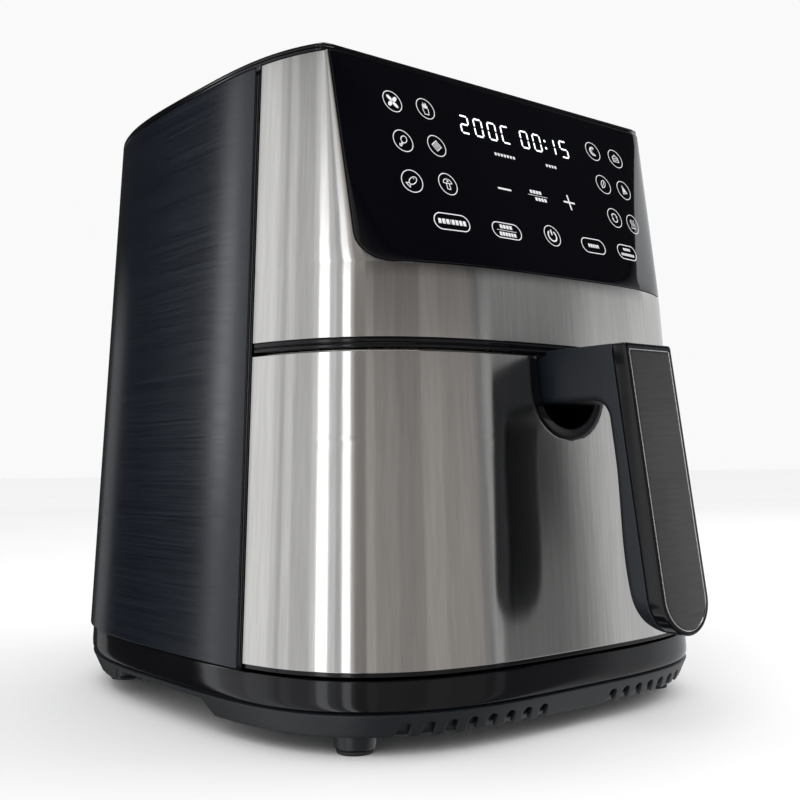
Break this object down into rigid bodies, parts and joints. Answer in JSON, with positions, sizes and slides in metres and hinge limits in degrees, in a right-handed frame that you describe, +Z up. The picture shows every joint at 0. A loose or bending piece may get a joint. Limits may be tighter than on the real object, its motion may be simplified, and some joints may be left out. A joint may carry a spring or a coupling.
{
  "type": "air fryer",
  "caption": "Drawer air fryer with a tapered dark body, steel front bands, a black touch panel, a pull-out pot with a bar handle, a heater and a fan.",
  "frame": {"origin": "on the table plane, under the middle of the whole object's box", "axes": "+Z up, -Y towards the front with the handle, +X to the right for someone facing +Y"},
  "size_m": [0.2932, 0.4094, 0.333],
  "materials": {
    "black_base": "satin",
    "gloss_black": "high gloss",
    "dark_wrap": "fine horizontal brushed grain, satin",
    "panel_black": "mirror-like gloss",
    "steel": "fine vertical brushed grain",
    "rubber_black": "matt",
    "rubber_red": "matt silicone",
    "zinc": "zinc plated",
    "sheet_metal": "galvanised sheet",
    "handle_matte": "fine matt grain",
    "plate_metal": "dark brushed",
    "chrome_line": "polished",
    "pot_coat": "non-stick coating, low sheen",
    "inner_plastic": "plain moulded",
    "pcb": "solder mask",
    "blanket": "glass wool",
    "heater": "heat-darkened steel",
    "brass": "turned",
    "motor_iron": "laminated",
    "fan_alu": "pressed sheet",
    "fan_plastic": "plain moulded",
    "switch_white": "plain moulded"
  },
  "bodies": {
    "housing": {"base_pan": "black_base", "base_ring": "gloss_black", "foot_1": "black_base", "foot_2": "black_base", "foot_3": "black_base", "foot_4": "black_base", "foot_pads": "rubber_black", "base_screws": "zinc", "wrap_left": "dark_wrap", "wrap_right": "dark_wrap", "rear_panel": "black_base", "trim_left": "gloss_black", "trim_right": "gloss_black", "top_cover": "gloss_black", "rear_grille": "black_base", "grille_screws": "zinc", "cord_gland": "rubber_black", "gland_nut": "inner_plastic", "front_band": "steel", "mid_trim": "gloss_black", "panel_glass": "panel_black", "panel_frame": "inner_plastic", "touch_board": "pcb", "display_module": "inner_plastic", "cavity_liner": "sheet_metal", "front_collar": "inner_plastic", "rails": "zinc", "ceiling_plate": "sheet_metal", "heater_dome": "sheet_metal", "insulation": "blanket", "heater_coil": "heater", "heater_brackets": "zinc", "fan_guard": "zinc", "thermal_cutout": "zinc", "temperature_probe": "zinc", "motor_bracket": "sheet_metal", "motor_stator": "motor_iron", "bearings": "brass", "motor_screws": "zinc", "exhaust_duct": "inner_plastic", "board_tray": "inner_plastic", "power_board": "pcb", "interlock_switch": "inner_plastic"},
    "drawer": {"drawer_front": "gloss_black", "drawer_skin": "steel", "inner_panel": "inner_plastic", "pocket_liner": "gloss_black", "handle_back": "handle_matte", "handle_front": "gloss_black", "handle_plate": "plate_metal", "handle_plate_line": "chrome_line", "handle_screws": "zinc", "pot": "pot_coat", "pot_brackets": "zinc"},
    "plate": {"crisper_plate": "pot_coat", "plate_bumpers": "rubber_red"},
    "rotor": {"motor_shaft": "motor_iron", "hot_fan": "fan_alu", "cooling_fan": "fan_plastic"},
    "plunger": {"switch_plunger": "switch_white"}
  },
  "joints": [
    {"name": "drawer_slide", "type": "slide", "parent": "housing", "child": "drawer", "axis": [0, -1, 0], "range_m": [0, 0.24]},
    {"name": "plate_lift", "type": "slide", "parent": "drawer", "child": "plate", "axis": [0, 0, 1], "range_m": [0, 0.1]},
    {"name": "fan_spin", "type": "hinge", "parent": "housing", "child": "rotor", "pos_m": [0, 0.006, 0.25], "axis": [0, 0, 1], "continuous": true},
    {"name": "interlock_press", "type": "slide", "parent": "housing", "child": "plunger", "axis": [0, 1, 0], "range_m": [0, 0.002], "stiffness_N_per_m": 200, "springref_m": -0.002}
  ]
}
